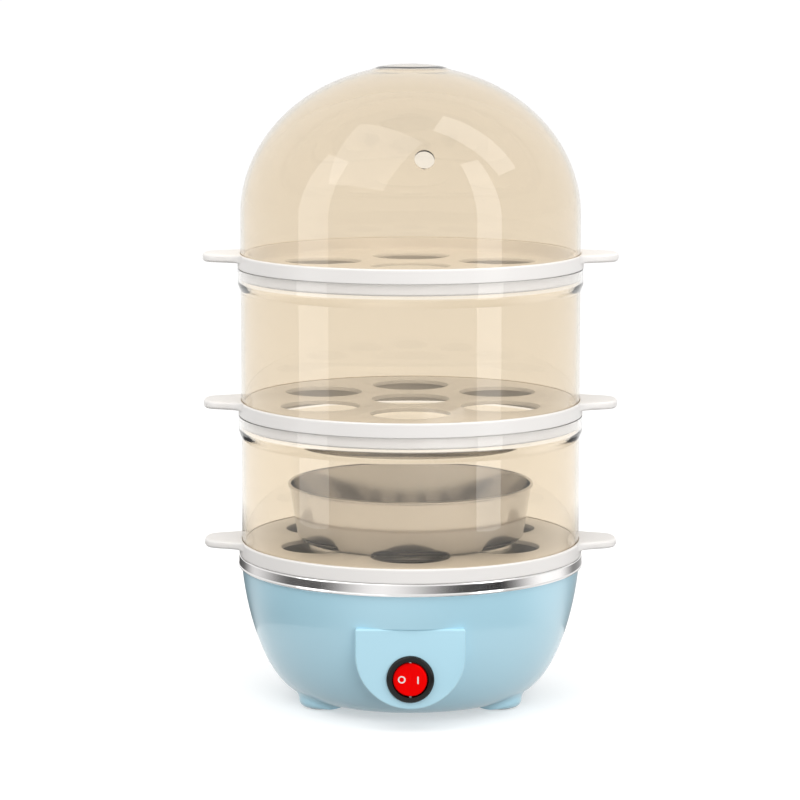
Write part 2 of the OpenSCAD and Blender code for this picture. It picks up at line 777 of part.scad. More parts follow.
base_housing();
bottom_cover();
cover_screws();
foot_pads();
heating_pan();
heater_plate();
heater_tube();
heater_pins();
pan_studs();
stud_washers();
pan_nuts();
earth_lug();
thermostat_body();
thermostat_cap();
thermostat_tabs();
thermostat_bracket();
bracket_screws();
thermal_fuse();
fuse_clip();
switch_lead();
fuse_lead();
heater_lead();
switch_body();
switch_terminals();
switch_pin();
switch_rocker();
cord_gland();
cord_clamp();
clamp_screws();
lower_tray();
lower_tube();
middle_tray();
upper_tube();
upper_tray();
dome_lid();
steaming_bowl();
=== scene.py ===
from math import acos, atan2, cos, degrees, pi, radians, sin, sqrt, tan

import bmesh
import bpy
from mathutils import Matrix, Vector


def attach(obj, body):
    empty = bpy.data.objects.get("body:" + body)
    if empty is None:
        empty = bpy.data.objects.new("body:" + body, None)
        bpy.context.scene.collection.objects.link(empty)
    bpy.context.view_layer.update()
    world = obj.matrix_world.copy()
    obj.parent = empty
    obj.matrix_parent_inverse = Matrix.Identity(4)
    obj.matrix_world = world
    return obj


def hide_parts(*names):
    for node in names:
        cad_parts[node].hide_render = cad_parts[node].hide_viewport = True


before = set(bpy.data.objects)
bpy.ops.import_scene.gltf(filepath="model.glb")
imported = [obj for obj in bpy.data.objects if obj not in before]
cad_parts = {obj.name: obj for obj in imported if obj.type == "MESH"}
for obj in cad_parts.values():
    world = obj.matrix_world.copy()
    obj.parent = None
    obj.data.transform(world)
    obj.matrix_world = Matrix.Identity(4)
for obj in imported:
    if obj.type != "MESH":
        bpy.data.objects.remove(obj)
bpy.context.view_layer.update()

# Lengths below are in millimetres, in the frame's own axes: -Y is the front and +Z is up.
MM = 0.001
SIDES = 192             # points round a turned part
HARD_EDGE = 32          # degrees between faces above which an edge is drawn sharp

# Base
HOUSING_R, HOUSING_TOP, BOTTOM_R, BOTTOM_Z, HOUSING_T = 83.75, 67.1, 44.0, 2.6, 2.4
BOWL_P, BOWL_Q = 0.72, 1.44
COVER_R, LEDGE_R, LEDGE_Z, LEDGE_T = 41.5, 37.5, 4.8, 2.4
FOOT_ANGLES, FOOT_PITCH_R = (-150, -30, 90), 50.8
COVER_SCREW_ANGLES, COVER_SCREW_R = (30, 150, 270), 35.5
BOSS_R, BOSS_TOP, SCREW_HOLE_R = 4.2, 14.8, 1.5
STUD_PITCH_R, STUD_HOLE_R = 62.0, 2.1
LUG_Z, LUG_T, LUG_W, LUG_IN, LUG_OUT = 37.0, 3.0, 12.0, 56.0, 77.0
RIB_H, RIB_W, RIB_IN, RIB_OUT = 7.0, 2.4, 68.0, 75.0
PANEL_R, PANEL_TOP, PANEL_ROUND_Z, PANEL_Y = 26.3, 50.8, 37.9, 80.7
GLAND_Z, GLAND_FACE_Y, GLAND_BOSS_R, GLAND_BORE_R, GLAND_POCKET_R = 22.0, 75.8, 9.5, 5.2, 7.1
SADDLE_W, SADDLE_TOP, SADDLE_NEAR, SADDLE_FAR, CORD_R, CLAMP_SCREW_X = 26.0, 21.2, 56.0, 61.0, 3.4, 9.0

# Switch
SWITCH_Z, BEZEL_R, BARREL_R, SWITCH_HOLE_R, PIN_HOLE_R = 26.6, 11.4, 9.9, 10.0, 0.85
ROCKER_R, ROCKER_TILT, ROCKER_MID = 8.1, 8.0, 1.2
MARK_LOW, MARK_TOP = -0.15, 0.03        # below and above the rocker's face

# Pan
PAN_R, PAN_TOP, PAN_FLOOR, SHEET = 85.5, 73.4, 50.0, 0.6
PAN_IN_R = 83.75

# Tiers
TUBE_R, TUBE_IN = 83.7, 82.1
RIM_R, RIM_H, LIP_IN, SEAT_IN, WALL_IN, SEAT_D = 85.1, 7.2, 84.0, 81.8, 80.0, 2.0
PLUG_R, PLUG_IN, PLUG_LOW, PLATE_T = 83.45, 81.65, -12.8, 2.0
COLLAR_IN, COLLAR_H, FLARE_H, FLARE_T, CLEAR_ROUND = 83.75, 6.2, 5.2, 0.6, 0.3
RIM_TOPS = {"lower": 80.6, "middle": 150.2, "upper": 222.8}
UPPER_DROP = 6.4
HOLE_R, HOLE_PITCH_R = 19.2, 50.5
HANDLE_TIP, HANDLE_T, HANDLE_ROOT = 102.3, 3.9, 15.5

# Lid
DOME_Z, DOME_RISE, CAP_R, CAP_H = 241.3, 73.0, 20.5, 0.9
VENT_R, VENT_ANGLE, VENT_Z = 4.75, -85.0, 273.6

# Bowl
STEAM_R, STEAM_FOOT_R, STEAM_H, STEAM_T = 60.0, 56.5, 28.0, 0.7


# ---------------------------------------------------------------- outlines

def arc(cx, cz, rx, rz, a0, a1, steps):
    """Points of an elliptical arc from angle a0 to a1, in degrees."""
    turns = [radians(a0 + (a1 - a0) * i / steps) for i in range(steps + 1)]
    return [(cx + rx * cos(a), cz + rz * sin(a)) for a in turns]


def circle(r, sides, x=0):
    """Points of a circle about (x, 0), counter-clockwise from the +X side."""
    turns = [2 * pi * k / sides for k in range(sides)]
    return [(x + r * cos(a), r * sin(a)) for a in turns]


def step(r0, z0, r1, z1, steps):
    """A smooth step from radius r0 at height z0 to radius r1 at height z1."""
    return [
        (r0 + (r1 - r0) * (1 - cos(pi * i / steps)) / 2, z0 + (z1 - z0) * i / steps)
        for i in range(steps + 1)
    ]


def bezier(p0, p1, p2, p3, steps):
    """Points of a cubic curve between p0 and p3."""
    points = []
    for i in range(steps + 1):
        t = i / steps
        w = ((1 - t) ** 3, 3 * t * (1 - t) ** 2, 3 * t * t * (1 - t), t ** 3)
        points.append(tuple(sum(k * p[j] for k, p in zip(w, (p0, p1, p2, p3))) for j in range(2)))
    return points


def bowl_line(inset, steps=64):
    """The housing's outline from its bottom edge up to its top edge, moved inwards by inset."""
    points = []
    for i in range(steps + 1):
        a = radians(90 - 90 * i / steps)
        points.append((
            BOTTOM_R + (HOUSING_R - inset - BOTTOM_R) * max(cos(a), 0) ** BOWL_P,
            HOUSING_TOP - (HOUSING_TOP - BOTTOM_Z - inset) * sin(a) ** BOWL_Q,
        ))
    return points


def bowl_height(r):
    """Height of the housing's outer surface at a distance r from the axis."""
    if r <= BOTTOM_R:
        return BOTTOM_Z
    c = min((r - BOTTOM_R) / (HOUSING_R - BOTTOM_R), 1) ** (1 / BOWL_P)
    return HOUSING_TOP - (HOUSING_TOP - BOTTOM_Z) * sqrt(1 - c * c) ** BOWL_Q


# ---------------------------------------------------------------- mesh building

def finish_mesh(name, bm):
    """Turns a bmesh into an object, in millimetres, with smooth shading broken only at hard edges."""
    bmesh.ops.remove_doubles(bm, verts=bm.verts, dist=1e-4)
    bmesh.ops.recalc_face_normals(bm, faces=bm.faces)
    mesh = bpy.data.meshes.new(name)
    bm.to_mesh(mesh)
    bm.free()
    mesh.shade_smooth()
    mesh.set_sharp_from_angle(angle=radians(HARD_EDGE))
    obj = bpy.data.objects.new(name, mesh)
    bpy.context.scene.collection.objects.link(obj)
    return obj


def supported(outline):
    """The closed outline with a point near each end of its long straight lines, so that they shade flat."""
    long, near = 4, 0.3
    points = []
    for p, q in zip(outline, outline[1:] + outline[:1]):
        points.append(p)
        length = sqrt((q[0] - p[0]) ** 2 + (q[1] - p[1]) ** 2)
        if length > long and max(p[0], q[0]) > 1e-6:
            for t in (near / length, 1 - near / length):
                points.append((p[0] + (q[0] - p[0]) * t, p[1] + (q[1] - p[1]) * t))
    return points


def turned(name, outline, sides=SIDES, place=None):
    """A solid made by turning a closed outline of (radius, height) points about Z."""
    bm = bmesh.new()
    rings = []
    for r, z in supported(outline):
        if r < 1e-6:
            rings.append([bm.verts.new((0, 0, z))])
        else:
            rings.append([bm.verts.new((x, y, z)) for x, y in circle(r, sides)])
    for a, b in zip(rings, rings[1:] + rings[:1]):
        for k in range(sides):
            n = (k + 1) % sides
            corners = []
            for v in (a[k % len(a)], a[n % len(a)], b[n % len(b)], b[k % len(b)]):
                if v not in corners:
                    corners.append(v)
            if len(corners) > 2:
                bm.faces.new(corners)
    if place is not None:
        bmesh.ops.transform(bm, matrix=place, verts=bm.verts)
    return finish_mesh(name, bm)


def bridge(bm, loops):
    """Faces between loops of points that follow one another."""
    for a, b in zip(loops, loops[1:]):
        for k in range(len(a)):
            n = (k + 1) % len(a)
            bm.faces.new((a[k], a[n], b[n], b[k]))


def stacked(name, rings, place=None):
    """A solid whose rings of points follow one another, closed by a flat face at each end."""
    bm = bmesh.new()
    loops = [[bm.verts.new(p) for p in ring] for ring in rings]
    bridge(bm, loops)
    bm.faces.new(loops[0])
    bm.faces.new(loops[-1])
    if place is not None:
        bmesh.ops.transform(bm, matrix=place, verts=bm.verts)
    return finish_mesh(name, bm)


def block(name, x0, x1, y0, y1, z0, z1, place=None, edge=0.4):
    """A block with rounded vertical edges."""
    corners = (
        arc(x1 - edge, y1 - edge, edge, edge, 0, 90, 4)
        + arc(x0 + edge, y1 - edge, edge, edge, 90, 180, 4)
        + arc(x0 + edge, y0 + edge, edge, edge, 180, 270, 4)
        + arc(x1 - edge, y0 + edge, edge, edge, 270, 360, 4)
    )
    return stacked(name, [[(x, y, z) for x, y in corners] for z in (z0, z1)], place)


def combine(obj, tools, operation):
    """Adds the tools to obj or cuts them out of it, removes the tools and closes hairline gaps."""
    for tool in tools:
        mod = obj.modifiers.new("combine", "BOOLEAN")
        mod.operation = operation
        mod.solver = "EXACT"
        mod.object = tool
        graph = bpy.context.evaluated_depsgraph_get()
        made = bpy.data.meshes.new_from_object(obj.evaluated_get(graph))
        obj.modifiers.clear()
        old = obj.data
        obj.data = made
        bpy.data.meshes.remove(old)
        bpy.data.objects.remove(tool)
    bm = bmesh.new()
    bm.from_mesh(obj.data)
    bmesh.ops.remove_doubles(bm, verts=bm.verts, dist=1e-3)
    bmesh.ops.dissolve_degenerate(bm, dist=1e-3, edges=bm.edges)
    bm.to_mesh(obj.data)
    bm.free()
    obj.data.name = obj.name
    obj.data.shade_smooth()
    obj.data.set_sharp_from_angle(angle=radians(HARD_EDGE))
    return obj


def inwards(points, amounts):
    """A closed 2D outline, counter-clockwise, with each point moved inwards by its own amount."""
    moved = []
    count = len(points)
    for i, (x, y) in enumerate(points):
        ax, ay = points[i - 1]
        bx, by = points[(i + 1) % count]
        tangent = Vector((bx - ax, by - ay)).normalized()
        moved.append((x - tangent.y * amounts[i], y + tangent.x * amounts[i]))
    return moved


def turn_z(angle, r=0, z=0):
    return Matrix.Rotation(radians(angle), 4, "Z") @ Matrix.Translation((r, 0, z))


TO_FRONT = Matrix.Rotation(radians(90), 4, "X")      # +Z becomes -Y
TO_REAR = Matrix.Rotation(radians(-90), 4, "X")      # +Z becomes +Y


def cylinder(name, r, z0, z1, place=None, sides=96):
    return turned(name, [(0, z0), (r, z0), (r, z1), (0, z1)], sides, place)


# ---------------------------------------------------------------- housing

def panel_outline(inset=0):
    """The D-shaped panel seen from the front, counter-clockwise, as (x, z) points."""
    corner = 1.2
    r = PANEL_R - inset
    top = PANEL_TOP - inset
    return (
        arc(0, PANEL_ROUND_Z, r, r, -180, 0, 72)
        + arc(r - corner, top - corner, corner, corner, 0, 90, 6)
        + arc(-r + corner, top - corner, corner, corner, 90, 180, 6)
    )


def panel_solid():
    edge = 1.0
    points = panel_outline()
    rings = [[(x, -40, z) for x, z in points]]
    for i in range(9):
        a = radians(90 * i / 8)
        inset = edge * (1 - cos(a))
        y = -PANEL_Y + edge * (1 - sin(a))
        rings.append([(x, y, z) for x, z in inwards(points, [inset] * len(points))])
    return stacked("panel", rings)


def panel_cut():
    """What is cut off the bowl in front of the panel's face."""
    points = panel_outline(0.05)
    return stacked("cut", [[(x, y, z) for x, z in points] for y in (-PANEL_Y + 0.4, -95)])


def panel_hollow():
    points = panel_outline(HOUSING_T)
    return stacked("cut", [[(x, y, z) for x, z in points] for y in (-38, -PANEL_Y + HOUSING_T)])


def foot(angle):
    """A foot with a rounded lower edge that runs into the bowl with a fillet."""
    low_z, round_r, low_r, fillet, sides = 0.5, 3.6, 10.9, 2.6, 96
    pocket_r, pocket_z = 6.6, 2
    centre = Vector((FOOT_PITCH_R, 0))
    columns = []
    for point in circle(1, sides):
        way = Vector(point)

        def surface(s):
            return bowl_height((centre + way * s).length)

        top = surface(low_r)
        round_h = min(round_r, max(top - fillet - low_z, 0.15))
        line = [(0.01, pocket_z), (pocket_r, pocket_z), (pocket_r, low_z)]
        line += arc(low_r - round_r, low_z + round_h, round_r, round_h, -90, 0, 8)
        start = (low_r, max(top - fillet, low_z + round_h))
        end = (low_r + fillet, surface(low_r + fillet) + 0.12)
        for i in range(1, 9):
            t = i / 8
            pairs = zip(start, (low_r, top), end)
            line.append(tuple((1 - t) ** 2 * a + 2 * t * (1 - t) * c + t * t * b for a, c, b in pairs))
        line += [(end[0] + 0.2, end[1] + 0.9), (0.01, surface(0) + 2)]
        columns.append([(centre.x + way.x * s, centre.y + way.y * s, z) for s, z in line])
    rings = [[column[i] for column in columns] for i in range(len(columns[0]))]
    return stacked("foot", rings, turn_z(angle))


def rear_cylinder(r, y0, y1, z):
    """A cutter along Y at a height z on the middle plane."""
    return cylinder("cut", r, y0, y1, Matrix.Translation((0, 0, z)) @ TO_REAR)


def housing_cuts():
    """The cavity with the cover's opening, the panel's hollow, and the holes for the switch and the gland."""
    ledge_top = LEDGE_Z + LEDGE_T
    hollow = [p for p in bowl_line(HOUSING_T) if p[1] > ledge_top + 0.3]
    cavity = turned("cut", (
        [(0, -2), (COVER_R, -2), (COVER_R, LEDGE_Z), (LEDGE_R, LEDGE_Z), (LEDGE_R, ledge_top)]
        + [(hollow[0][0], ledge_top)] + hollow[:-1]
        + [(HOUSING_R - HOUSING_T, HOUSING_TOP + 5), (0, HOUSING_TOP + 5)]
    ))
    return [
        cavity,
        panel_hollow(),
        rear_cylinder(SWITCH_HOLE_R, -100, -60, SWITCH_Z),
        rear_cylinder(GLAND_BORE_R, 40, 90, GLAND_Z),
        rear_cylinder(GLAND_POCKET_R, 48, GLAND_FACE_Y - HOUSING_T, GLAND_Z),
    ]


def cord_saddle():
    """The block below the gland that the cord is clamped to. Its foot follows the bowl."""
    half = SADDLE_W / 2
    base = ((half, SADDLE_NEAR), (half, SADDLE_FAR), (-half, SADDLE_FAR), (-half, SADDLE_NEAR))
    obj = stacked("saddle", [
        [(x, y, bowl_height(sqrt(x * x + y * y)) + 1.2) for x, y in base],
        [(x, y, SADDLE_TOP) for x, y in base],
    ])
    middle = (SADDLE_NEAR + SADDLE_FAR) / 2
    cuts = [rear_cylinder(CORD_R, 50, 70, GLAND_Z)]
    for x in (-CLAMP_SCREW_X, CLAMP_SCREW_X):
        place = Matrix.Translation((x, middle, 0))
        cuts.append(cylinder("cut", SCREW_HOLE_R, SADDLE_TOP - 8, SADDLE_TOP + 1.8, place, 32))
    return combine(obj, cuts, "DIFFERENCE")


def housing_insides():
    """The cover's screw bosses, the cord's saddle, and a lug with a rib for each of the pan's studs."""
    low = LEDGE_Z + 0.03
    insides = []
    for a in COVER_SCREW_ANGLES:
        ring = [(SCREW_HOLE_R, low), (BOSS_R, low), (BOSS_R, BOSS_TOP), (SCREW_HOLE_R, BOSS_TOP)]
        insides.append(turned("boss", ring, 48, turn_z(a, COVER_SCREW_R)))
    insides.append(cord_saddle())
    for a in FOOT_ANGLES:
        lug = block("lug", LUG_IN, LUG_OUT, -LUG_W / 2, LUG_W / 2, LUG_Z, LUG_Z + LUG_T, turn_z(a))
        hole = cylinder("cut", STUD_HOLE_R, LUG_Z - 1, LUG_Z + LUG_T + 2, turn_z(a, STUD_PITCH_R), 32)
        insides.append(combine(lug, [hole], "DIFFERENCE"))
        low, high = LUG_Z - RIB_H, LUG_Z + 0.2
        insides.append(block("rib", RIB_IN, RIB_OUT, -RIB_W / 2, RIB_W / 2, low, high, turn_z(a)))
    return insides


def housing():
    lip = 0.35
    obj = turned("blue_housing", (
        [(0, BOTTOM_Z)] + [p for p in bowl_line(0) if p[1] < HOUSING_TOP - 2 * lip]
        + arc(HOUSING_R - lip, HOUSING_TOP - lip, lip, lip, 0, 90, 3) + [(0, HOUSING_TOP)]
    ))
    combine(obj, [panel_cut()], "DIFFERENCE")
    boss = turned(
        "boss", [(0, 50), (GLAND_BOSS_R, 50)]
        + arc(GLAND_BOSS_R - 0.6, GLAND_FACE_Y - 0.6, 0.6, 0.6, 0, 90, 5) + [(0, GLAND_FACE_Y)],
        72, Matrix.Translation((0, 0, GLAND_Z)) @ TO_REAR,
    )
    combine(obj, [panel_solid(), boss] + [foot(a) for a in FOOT_ANGLES], "UNION")
    combine(obj, housing_cuts(), "DIFFERENCE")
    combine(obj, housing_insides(), "UNION")
    return obj


# ---------------------------------------------------------------- pan, trays, clear parts

def pan():
    t = SHEET
    band_r = PAN_R - 0.25
    roll = (band_r - PAN_IN_R) / 2
    roll_x, roll_z = PAN_IN_R + roll, PAN_TOP - roll
    low = HOUSING_TOP + 0.3
    corner_x, corner_r, shelf_r = 71.4, 5, 79.7
    corner_z, shelf_z = PAN_FLOOR + corner_r, HOUSING_TOP + t
    inside = (
        [(0, PAN_FLOOR)] + arc(corner_x, corner_z, corner_r, corner_r, -90, -4, 14)
        + [(shelf_r - 0.6, shelf_z - 0.5), (shelf_r, shelf_z), (PAN_IN_R, shelf_z)]
        + arc(roll_x, roll_z, roll, roll, 180, 0, 16)
        + [(band_r, roll_z - 0.15), (band_r, low + 1.35), (band_r, low + 1.1)]
        + arc(PAN_R - 0.4, low + 0.5, 0.4, 0.5, 40, -60, 8)
    )
    outside = (
        [(PAN_R - t, low + 0.05), (band_r - t, low + 1), (band_r - t, roll_z - 0.15)]
        + arc(roll_x, roll_z, roll - t, roll - t, 0, 180, 8)
        + [(PAN_IN_R + t, HOUSING_TOP), (shelf_r + 0.3, HOUSING_TOP), (shelf_r, HOUSING_TOP - 0.3)]
        + arc(corner_x, corner_z, corner_r + t, corner_r + t, -4, -90, 14) + [(0, PAN_FLOOR - t)]
    )
    return turned("steel_pan", inside + outside, 256)


def handle():
    """One handle on the +X side, top at z = 0, with a rounded edge and fillets into the rim."""
    inner_r, fillet = 84.55, 4.5
    root = radians(HANDLE_ROOT)
    rim_point = (RIM_R * cos(root), RIM_R * sin(root))
    along_rim = (rim_point[0] + fillet * sin(root), rim_point[1] - fillet * cos(root))
    neck = (90.5, 14.3)
    side = bezier(rim_point, along_rim, (86.0, 16.0), neck, 12)
    tip = bezier(neck, (95.5, 12.6), (101.0, 11.4), (HANDLE_TIP - 0.6, 5.5), 10)[1:]
    nose = bezier(tip[-1], (HANDLE_TIP, 3.6), (HANDLE_TIP, 1.8), (HANDLE_TIP, 0), 6)[1:]
    half = side + tip + nose
    whole = [(x, -y) for x, y in half] + half[-2::-1]
    inner = arc(0, 0, inner_r, inner_r, HANDLE_ROOT, -HANDLE_ROOT, 24)
    points = whole + inner
    weights = [min(max((sqrt(x * x + y * y) - RIM_R) / 2.5, 0), 1) for x, y in points]
    edge, rings = 1.25, []
    turns = [radians(a) for a in range(0, 91, 15)]
    profile = [(edge * (1 - cos(a)), -HANDLE_T + edge * (1 - sin(a))) for a in reversed(turns)]
    profile += [(edge * (1 - cos(a)), -edge * (1 - sin(a)) - 0.02) for a in turns]
    for inset, z in profile:
        rings.append([(x, y, z) for x, y in inwards(points, [inset * w for w in weights])])
    return rings


def egg_hole_cutter(x, y, top, bevel):
    """Cuts one egg hole with a rounded upper edge."""
    low, rim = top - PLATE_T - 1, top + 0.03
    turns = [radians(a) for a in range(0, 91, 15)]
    outline = (
        [(0, low), (HOLE_R, low)]
        + [(HOLE_R + bevel * (1 - cos(a)), rim - bevel + bevel * sin(a)) for a in turns]
        + [(HOLE_R + bevel, top + 1), (0, top + 1)]
    )
    return turned("cut", outline, 96, Matrix.Translation((x, y, 0)))


def tray(tier, drop):
    """A tray whose plate lies at its rim, or lower by drop, with two handles and seven egg holes."""
    top_z = RIM_TOPS[tier]
    round_r = 0.9
    if drop:
        under = [(0, -drop - PLATE_T), (PLUG_IN, -drop - PLATE_T)]
        over = (
            arc(SEAT_IN - 0.3, -0.3, 0.3, 0.3, 0, 90, 3) + arc(WALL_IN + 0.4, -0.4, 0.4, 0.4, 90, 180, 3)
            + arc(WALL_IN - 2, -drop + 2, 2, 2, 0, -90, 10) + [(0, -drop)]
        )
    else:
        low = -SEAT_D - PLATE_T
        under = [(0, -PLATE_T), (WALL_IN, -PLATE_T), (WALL_IN, low), (PLUG_IN, low)]
        over = arc(SEAT_IN - 0.3, -0.3, 0.3, 0.3, 0, 90, 3) + [(0, 0)]
    outline = (
        under + [(PLUG_IN, PLUG_LOW)]
        + arc(PLUG_R - 1.2, PLUG_LOW + 1.2, 1.2, 1.2, -90, 0, 8)
        + [(PLUG_R, -RIM_H)] + arc(RIM_R - 0.5, -RIM_H + 0.5, 0.5, 0.5, -90, 0, 4)
        + arc(RIM_R - round_r, -round_r, round_r, round_r, 0, 90, 8)
        + [(LIP_IN, 0), (LIP_IN, -SEAT_D), (SEAT_IN, -SEAT_D)] + over
    )
    at_tier = Matrix.Translation((0, 0, top_z))
    obj = turned("white_tray_" + tier, outline, place=at_tier)
    rings = handle()
    combine(obj, [stacked("handle", rings, at_tier @ turn_z(a)) for a in (0, 180)], "UNION")
    turns = [radians(30 + 60 * i) for i in range(6)]
    spots = [(0, 0)] + [(HOLE_PITCH_R * cos(a), HOLE_PITCH_R * sin(a)) for a in turns]
    bevel = 1.2 if drop else 0.5
    combine(obj, [egg_hole_cutter(x, y, top_z - drop, bevel) for x, y in spots], "DIFFERENCE")
    return obj


def wall_foot(tier):
    """The rounded lower edge of a tube or the lid, which stands in the seat of a tray."""
    foot_z, soft = RIM_TOPS[tier] - SEAT_D, CLEAR_ROUND
    return (
        arc(TUBE_IN + soft, foot_z + soft, soft, soft, 180, 270, 4)
        + arc(TUBE_R - soft, foot_z + soft, soft, soft, 270, 360, 4)
    )


def tube(tier, above):
    """A tube that stands on one tray and widens to a paler collar below the rim of the tray above."""
    top_z, soft = RIM_TOPS[above] - RIM_H, CLEAR_ROUND
    flare_top = top_z - COLLAR_H - 0.8
    outline = (
        wall_foot(tier)
        + step(TUBE_R, flare_top - FLARE_H, RIM_R, flare_top, 16)
        + arc(RIM_R - soft, top_z - soft, soft, soft, 0, 90, 4)
        + arc(COLLAR_IN + soft, top_z - soft, soft, soft, 90, 180, 4)
        + step(TUBE_IN, flare_top - FLARE_H + FLARE_T, COLLAR_IN, flare_top + FLARE_T, 16)[::-1]
    )
    obj = turned("clear_tube_" + tier, outline, 256)
    for finish in ("clear_smoke", "clear_collar"):
        obj.data.materials.append(FINISHES[finish])
    for face in obj.data.polygons:
        face.material_index = 1 if face.center.z > flare_top else 0
    return obj


def cap_lift(r):
    """How far the dome's cap stands above the dome's own curve at a distance r from the axis."""
    return CAP_H * (1 - cos(pi * min(max(1 - r / CAP_R, 0) * 3.5, 1))) / 2


def dome():
    cap_angle = degrees(acos(CAP_R / TUBE_R))
    outline = wall_foot("upper") + arc(0, DOME_Z, TUBE_R, DOME_RISE, 0, cap_angle, 72)
    for i in range(1, 25):
        r = CAP_R * (1 - i / 24)
        outline.append((r, DOME_Z + DOME_RISE * sqrt(1 - (r / TUBE_R) ** 2) + cap_lift(r)))
    inside = arc(0, DOME_Z, TUBE_IN, DOME_RISE - (TUBE_R - TUBE_IN), 90, 0, 120)
    outline += [(r, z + cap_lift(r)) for r, z in inside]
    obj = turned("clear_dome", outline, 256)
    x = TUBE_R * sqrt(1 - ((VENT_Z - DOME_Z) / DOME_RISE) ** 2)
    tilt = degrees(atan2((VENT_Z - DOME_Z) / DOME_RISE ** 2, x / TUBE_R ** 2))
    place = turn_z(VENT_ANGLE, x, VENT_Z) @ Matrix.Rotation(radians(90 - tilt), 4, "Y")
    return combine(obj, [cylinder("cut", VENT_R, -10, 10, place, 96)], "DIFFERENCE")


def steaming_bowl():
    t, round_r, bead = STEAM_T, 4.0, 0.8
    z0 = RIM_TOPS["lower"]
    top = z0 + STEAM_H - bead
    cx, cz = STEAM_FOOT_R - round_r, z0 + round_r
    outline = (
        [(0, z0 + 0.02)] + arc(cx, cz, round_r, round_r, -90, -8, 14)
        + [(STEAM_R, top - bead)]
        + arc(STEAM_R + bead - t, top, bead, bead, -60, 180, 24)
        + arc(cx, cz, round_r - t, round_r - t, -8, -90, 14) + [(0, z0 + t)]
    )
    obj = turned("steel_bowl", outline, 256)
    dress(obj, "bowl_steel")
    return obj


# ---------------------------------------------------------------- switch

AT_SWITCH = Matrix.Translation((0, -PANEL_Y, SWITCH_Z)) @ TO_FRONT


def switch_body():
    lip_r, bay_r, depth, low = 9.3, 8.7, 8.0, -20.7
    outline = (
        [(0, low), (BARREL_R, low), (BARREL_R, 0.02), (BEZEL_R - 0.1, 0.02), (BEZEL_R, 0.12)]
        + arc(lip_r, 0.8, BEZEL_R - lip_r, 1.4, 0, 90, 14)
        + arc(bay_r + 0.3, 1.9, 0.3, 0.3, 90, 180, 4)
        + [(bay_r, -depth), (0, -depth)]
    )
    obj = turned("switch_bezel", outline, 128, AT_SWITCH)
    pin_half = 9.6
    place = Matrix.Translation((0, -PANEL_Y, SWITCH_Z))
    hole = cylinder("cut", PIN_HOLE_R, -pin_half, pin_half, place, 24)
    return combine(obj, [hole], "DIFFERENCE")


TILTED = Matrix.Rotation(radians(-ROCKER_TILT), 4, "Z")
ROCKER_PLACE = Matrix.Translation((0, -PANEL_Y, SWITCH_Z)) @ TILTED @ TO_FRONT


def rocker_face(x):
    """Height of the rocker's shallow V in front of its pivot."""
    soft = 0.35
    return ROCKER_MID + tan(radians(ROCKER_TILT)) * (sqrt(x * x + soft * soft) - soft)


def on_wing(points, height):
    """Points of the rocker's face, raised by height."""
    return [(x, y, rocker_face(x) + height) for x, y in points]


def rocker():
    """The rocker: a block below, a round rim above, and rings of points over its face."""
    sides, edge, block_r, low, rim_low = 96, 0.5, 6.5, -5, -1.5
    below = ((0.01, low), (block_r, low), (block_r, rim_low), (ROCKER_R, rim_low))
    rings = [[(x, y, z) for x, y in circle(r, sides)] for r, z in below]
    turns = [radians(a) for a in range(0, 91, 15)]
    spread = [(ROCKER_R - edge + edge * cos(a), -edge * (1 - sin(a))) for a in turns]
    spread += [(r, 0) for r in (7.0, 6.2, 5.2, 4.2, 3.2, 2.4, 1.6, 0.9, 0.3)]
    for r, drop in spread:
        rings.append(on_wing(circle(r, sides), drop))
    obj = stacked("red_rocker", rings, ROCKER_PLACE)
    hole = cylinder("cut", PIN_HOLE_R, -9, 9, ROCKER_PLACE @ Matrix.Rotation(radians(90), 4, "X"), 24)
    return combine(obj, [hole], "DIFFERENCE")


def off_mark():
    """The ring printed on the pressed side."""
    x0, outer, line, sides = -3.9, 1.8, 0.65, 64
    bm = bmesh.new()
    rings = []
    for r, h in ((outer - line, MARK_LOW), (outer - line, MARK_TOP), (outer, MARK_TOP), (outer, MARK_LOW)):
        rings.append([bm.verts.new(p) for p in on_wing(circle(r, sides, x0), h)])
    bridge(bm, rings + rings[:1])
    bmesh.ops.transform(bm, matrix=ROCKER_PLACE, verts=bm.verts)
    return finish_mesh("mark_off", bm)


def on_mark():
    """The bar printed on the raised side."""
    x0, half_w, half_h, soft = 3.9, 0.35, 1.8, 0.15
    outline = (
        arc(x0 + half_w - soft, half_h - soft, soft, soft, 0, 90, 3)
        + arc(x0 - half_w + soft, half_h - soft, soft, soft, 90, 180, 3)
        + arc(x0 - half_w + soft, -half_h + soft, soft, soft, 180, 270, 3)
        + arc(x0 + half_w - soft, -half_h + soft, soft, soft, 270, 360, 3)
    )
    return stacked("mark_on", [on_wing(outline, h) for h in (MARK_LOW, MARK_TOP)], ROCKER_PLACE)


# ---------------------------------------------------------------- materials

GRAIN_H = 0.00001       # metres from low to high in the fine grain of a surface


def nodes_of(name):
    mat = bpy.data.materials.new(name)
    mat.use_nodes = True
    tree = mat.node_tree
    tree.nodes.clear()
    out = tree.nodes.new("ShaderNodeOutputMaterial")
    return mat, tree, out


def link(tree, a, b):
    tree.links.new(a, b)


def maths(tree, operation, a, b=None, c=None):
    """A math node; each input is a number or another node's output."""
    node = tree.nodes.new("ShaderNodeMath")
    node.operation = operation
    for socket, value in zip(node.inputs, (a, b, c)):
        if isinstance(value, (int, float)):
            socket.default_value = value
        elif value is not None:
            link(tree, value, socket)
    return node.outputs["Value"]


def mixed(tree, share, first, second):
    """A mix of two shaders; share is how much there is of the second."""
    mix = tree.nodes.new("ShaderNodeMixShader")
    link(tree, share, mix.inputs["Fac"])
    link(tree, first, mix.inputs[1])
    link(tree, second, mix.inputs[2])
    return mix.outputs["Shader"]


